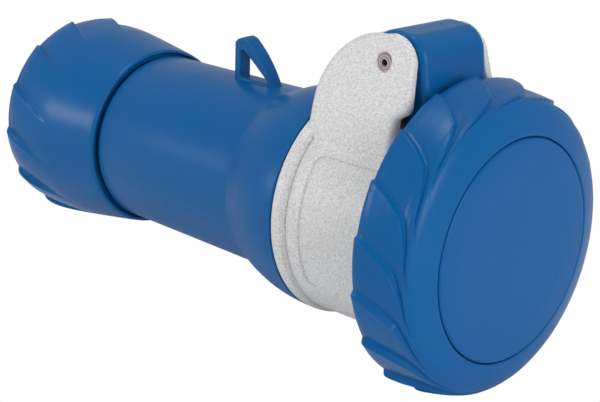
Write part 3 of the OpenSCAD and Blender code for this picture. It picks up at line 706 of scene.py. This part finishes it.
def pad_sink(x, phi):
    """How far the side pads sink the sleeve: 0.8 mm inside a rounded rectangle that runs from
    PAD_BACK forwards and from PAD_FROM to PAD_TO on each side."""
    a = np.minimum(phi, 360 - phi)
    along = (a - (PAD_FROM + PAD_TO) / 2) * np.pi / 180 * SLEEVE_R
    half = (PAD_TO - PAD_FROM) / 2 * np.pi / 180 * SLEEVE_R
    qx, qa = PAD_BACK + PAD_CORNER - x, np.abs(along) - (half - PAD_CORNER)
    out = np.hypot(np.maximum(qx, 0), np.maximum(qa, 0))
    d = out + np.minimum(np.maximum(qx, qa), 0) - PAD_CORNER
    return 0.8 * ease(-d / 0.4) * ease((-12.9 - x) / 0.5)


def key_sink(phi):
    """How much deeper the bore is at the keyway: 2.4 mm over a width of 9 mm at the bottom."""
    return 2.4 * ease((6.75 - np.abs(phi - 180)) / 0.55)


corner_steps = [a for base in (PAD_FROM, PAD_TO - 7) for a in np.arange(base, base + 7.5, 0.45)]
edges = (PAD_FROM, PAD_TO, 360 - PAD_TO, 360 - PAD_FROM, 180 - KEY_HALF, 180 + KEY_HALF)
sleeve_phi = np.unique(np.round(np.concatenate(
    [crowd(*edges), corner_steps, 360 - np.array(corner_steps)]), 3))
print("columns round the sleeve:", len(sleeve_phi))

# %% [markdown]
# ## Front sleeve
# The profile runs back along the outside, round the flange and its rolled bead, forwards
# through the bore and round the lip. The pads act on its outside and the keyway on its bore.
# The two cam ramps, which the ring's lugs run under, are bent bars of their own.

# %% Front sleeve
outer_x = np.concatenate([np.linspace(-1.0, -12.4, 5), np.linspace(-12.9, -13.5, 5),
                          np.linspace(-16, -50, 12), np.linspace(-52, -58.2, 28),
                          [-60.5, -63.4]])
sleeve_out = np.array([(x, SLEEVE_R) for x in outer_x])
sleeve_rim = rounded(
    [(-63.4, SLEEVE_R, 0), (-63.9, 43.9, 0.3), (-64.5, 42.9, 0.2), (-65.2, 44.4, 0.2),
     (-65.8, 45.4, 0.5), (-67.5, 46.0, 2), (-69.6, 46.0, 1.2), (-70.4, 45.4, 0.3),
     (-70.4, 41.4, 0.2), (-80, 41.4, 0.4), (-80, 38.6, 0.3), (-58, 38.6, 0.2),
     (-58, BORE_R, 0)])[1:]
sleeve_bore = np.array([(x, BORE_R) for x in np.linspace(-57.8, -0.6, 13)])
sleeve_lip = rounded([(-0.5, BORE_R, 0), (0, 40.6, 0.3), (0, 43.4, 0.5), (-0.9, SLEEVE_R, 0)])[:-1]
line = np.concatenate([sleeve_out, sleeve_rim, sleeve_bore, sleeve_lip])
row = np.arange(len(line))[:, None]
is_out = row < len(sleeve_out)
is_bore = (row >= len(sleeve_out) + len(sleeve_rim)) & (row < len(line) - len(sleeve_lip) + 2)
sleeve_r = (line[:, 1:2] - np.where(is_out, pad_sink(line[:, :1], sleeve_phi[None, :]), 0)
            + np.where(is_bore, key_sink(sleeve_phi[None, :]), 0))
mesh_piece("socket_sleeve", round_axis(line[:, :1], sleeve_r, sleeve_phi[None, :]).reshape(-1, 3),
           grid_quads(len(line), len(sleeve_phi), True), grey_polyamide, "connector",
           ["front_sleeve"])
for i, start in enumerate((80, 260)):
    bent_bar(f"cam_ramp_{i + 1}", -7.3, -4, 43.4, 48.5, start, start + 38, 0.9, grey_polyamide,
             "connector", taper=1.4)

# %% [markdown]
# ## Lid
# The lid is a plate with a seal groove, a boss and ribs on its inside. An arm reaches back from
# it over the sleeve to the knuckle, a block that is rounded over the top and holds the spring
# in a chamber with an opening to the rear and a slot below for the spring's free leg.

# %% Lid
knuckle_side = outline_field(arc(*PIN, 11.3, 250, 84, 24) + arc(-32.3, 65.7, 10.4, 74, 8, 10)
                             + [(-20.7, 57), (-19.8, 46), (-19.8, 30), (-33, 30), (-33, 53)])
arm_side = outline_field([(-30, 46.2), (-30, 51.4), (-4.4, 51.4), (0.6, 48.9), (4, 46.2),
                          (5.6, 45), (5.6, 39.6), (2.3, 39.6), (2.3, 45.6), (0.8, 46.2)])


def off_spoke(a, count):
    """Angle from the nearest of count spokes that are spread evenly round the axis."""
    gap = 2 * np.pi / count
    return a - np.round(a / gap) * gap


def lid_inside(x, rho, a):
    """The boss and the six ribs on the inside of the plate, at radius rho and angle a."""
    boss = both(np.abs(rho - 13.3) - 0.9, between(x, 0.1, 3), 0.3)
    across = np.abs(rho * np.sin(off_spoke(a, 6))) - 0.9
    rib = both(across, np.maximum(between(rho, 13.5, 38.2), between(x, 0.3, 3)), 0.3)
    return either(boss, rib, 0.3)


def screw_holes(x, rho, a):
    """Three stepped holes for the lid's screws, on a circle of radius 22 mm."""
    b = off_spoke(a + np.radians(30), 3)
    from_screw = np.hypot(rho * np.cos(b) - 22, rho * np.sin(b))
    return np.minimum(from_screw - 2.2, np.maximum(from_screw - 4.1, x - 3.7))


def spring_chamber(x, w, z):
    """Room for the spring: round its coil, out to the rear, and down to its free leg."""
    coil = np.hypot(x - PIN[0], z - PIN[1]) - 7.3
    rear = np.maximum(between(x, PIN[0] - 14, PIN[0]), between(z, 58.4, 64.4))
    leg = np.maximum(np.abs(x + 35.2) - 4.3, between(z, 48.2, 64.2))
    return np.maximum(np.minimum(coil, np.minimum(rear, leg)), w - 7.6)


def lid_form(x, y, z):
    """Plate, arm and knuckle, less the seal groove, the screw holes, the spring chamber and the
    pin hole."""
    rho, w = np.sqrt(y ** 2 + z ** 2), np.abs(y)
    a = np.arctan2(-y, z) - np.radians(30)
    arm = np.where(z > 0, arm_side(x, rho), 99)
    knuckle = both(knuckle_side(x, z), 47.2 - rho, 0.3)
    solid = both(either(arm, knuckle, 1.8), w - 17.7, 2.6)
    plate = both(between(x, 2.3, 6.0), rho - 45.6, 0.5)
    solid = np.minimum(either(solid, plate, 0.5), lid_inside(x, rho, a))
    groove = both(between(rho, 38.7, 44.7), x - 3.3, 0.2)
    solid = both(both(solid, -groove, 0.2), -screw_holes(x, rho, a), 0.2)
    solid = both(solid, -spring_chamber(x, w, z), 0.4)
    return both(solid, PIN_HOLE_R - np.hypot(x - PIN[0], z - PIN[1]), 0.3)


field_piece("lid_with_knuckle", lid_form, (-52, -47, -47), (7, 47, 78), 0.62, blue_polyamide,
            "lid_group", ["lid"])

# %% [markdown]
# ## Front disc
# A round disc in the middle of the ring keeps the ring on the lid's hub. Its face is flat and
# bare, with an edge that is only just broken, and the dark line round it is the ring's running
# clearance.

# %% Front disc
disc = rounded([(6.0, 0.01, 0), (6.0, 31.7, 0.2), (8.6, 31.7, 0.2), (8.6, 42.6, 0.3),
                (11.0, 42.6, 1.1), (11.0, 30, 0), (11.0, 12, 0), (11.0, 0.3, 0), (11.0, 0.01, 0)])
revolve("front_disc", disc, blue_polyamide, "lid_group", ["ring_retainer"],
        cols=240)

# %% [markdown]
# ## Hanging lug
# A fin on the tube has a three-cornered eye, so that the connector can hang from a hook. The
# front edge of the fin sweeps down to the bell in a curve.

# %% Hanging lug
fin = outline_field([(-137.9, 33), (-137.9, 52.7), (-136.3, 54.2), (-131.8, 55.8)]
                    + arc(-158.4, 15.4, 49.2, 54, 26.5, 12) + [(-112.4, 33)])
eye = outline_field([(-133.4, 38.9), (-133.4, 48.9), (-132.5, 49.2), (-126.2, 44.8),
                     (-118.7, 38.9)])


def lug_form(x, y, z):
    """A plate 6.2 mm thick with rounded edges, less the eye, whose edges are rounded too."""
    plate = both(fin(x, z), np.abs(y) - 3.1, 1.3)
    return both(plate, 0.6 - eye(x, z), 0.9)


field_piece("hanging_lug", lug_form, (-140, -4.5, 33), (-110, 4.5, 58), 0.4, blue_polyamide,
            "connector")

# %% [markdown]
# ## Floor and world
# A pale floor and a white world make a plain studio. Rays from the camera see both as white,
# while the light on the object comes from three soft lamps and a dimmer white world.

# %% Floor and world
FLOOR_Z = -0.0612
WORLD_LIGHT = 0.56


def floor_piece():
    """A floor 6 m wide just under the ring: white to the camera, pale to every other ray."""
    mesh = bpy.data.meshes.new("floor")
    mesh.from_pydata([(-3, -3, FLOOR_Z), (3, -3, FLOOR_Z), (3, 3, FLOOR_Z), (-3, 3, FLOOR_Z)],
                     [], [(0, 1, 2, 3)])
    floor = bpy.data.objects.new("floor", mesh)
    bpy.context.scene.collection.objects.link(floor)
    mat, shader = blank("pale_floor")
    shader.inputs["Base Color"].default_value = paint("#F4F4F4")
    shader.inputs["Roughness"].default_value = 0.9
    ray = add(mat, "ShaderNodeLightPath")
    glow = add(mat, "ShaderNodeEmission", Color=(1, 1, 1, 1), Strength=1.0)
    mixed = add(mat, "ShaderNodeMixShader",
                {0: (ray, "Is Camera Ray"), 1: (shader, "BSDF"), 2: (glow, "Emission")})
    feed(mat, mat.node_tree.nodes["Material Output"], {"Surface": (mixed, "Shader")})
    mesh.materials.append(mat)


floor_piece()
world = bpy.data.worlds.new("studio")
bpy.context.scene.world = world
world.use_nodes = True
ray = add(world, "ShaderNodeLightPath")
seen = add(world, "ShaderNodeMath", {0: (ray, "Is Camera Ray"), 1: (ray, "Is Transmission Ray")},
           operation="MAXIMUM")
level = add(world, "ShaderNodeMapRange", {"Value": (seen, "Value")},
            To_Min=WORLD_LIGHT, To_Max=1.0)
background = world.node_tree.nodes["Background"]
background.inputs["Color"].default_value = (1, 1, 1, 1)
feed(world, background, {"Strength": (level, "Result")})
print("world light:", WORLD_LIGHT)

# %% [markdown]
# ## Lamps
# The key lamp hangs nearly overhead. A small low lamp beside the tube draws the narrow
# highlight along it, and a wide one in front of the lid lifts its face and the ring's lips.

# %% Lamps
def lamp(name, place, aim, size, power):
    """A soft square lamp at place, turned to aim, in metres and watts."""
    data = bpy.data.lights.new(name, "AREA")
    data.shape, data.size, data.energy = "SQUARE", size, power
    light = bpy.data.objects.new(name, data)
    bpy.context.scene.collection.objects.link(light)
    back = np.array(place, float) - np.array(aim, float)
    back /= np.linalg.norm(back)
    right = np.cross((0, 0, 1), back)
    right /= np.linalg.norm(right)
    turned = np.column_stack([right, np.cross(back, right), back])
    light.matrix_world = Matrix.Translation(place) @ Matrix(turned.tolist()).to_4x4()
    print(f"{name}: {power} W, {size} m wide")


lamp("key_above", (-0.3, -0.15, 1.1), (-0.08, 0, 0), 0.3, 3.0)
lamp("fill_left", (-0.75, -0.85, 0.24), (-0.08, 0, 0), 0.22, 2.2)
lamp("front_right", (1.0, -0.3, 0.35), (0, 0, 0), 0.6, 6.0)

# %% [markdown]
# ## Camera
# The camera stands in front of the lid, 0.57 m away, to its -Y side and a little above, and is
# rolled by less than two degrees. The view transform leaves colours as they are written.

# %% Camera
def look(azimuth, elevation, roll, place, lens):
    """A camera whose back axis points to azimuth and elevation, rolled, at place in metres."""
    a, e, r = np.radians([azimuth, elevation, roll])
    back = np.array([np.sin(a) * np.cos(e), -np.cos(a) * np.cos(e), np.sin(e)])
    right = np.array([np.cos(a), np.sin(a), 0])
    up = np.cross(back, right)
    roll_by = np.array([[np.cos(r), np.sin(r), 0], [-np.sin(r), np.cos(r), 0], [0, 0, 1]])
    turned = roll_by @ np.array([right, up, back])
    data = bpy.data.cameras.new("camera")
    data.lens, data.sensor_width, data.clip_start = lens, 36, 0.01
    camera = bpy.data.objects.new("camera", data)
    bpy.context.scene.collection.objects.link(camera)
    camera.matrix_world = Matrix.Translation(place) @ Matrix(turned.T.tolist()).to_4x4()
    bpy.context.scene.camera = camera
    print("camera at", place, "with a lens of", lens, "mm")


look(44.443, 18.157, 1.69, (0.3229, -0.4310, 0.1897), 92.07)
bpy.context.scene.view_settings.view_transform = "Standard"
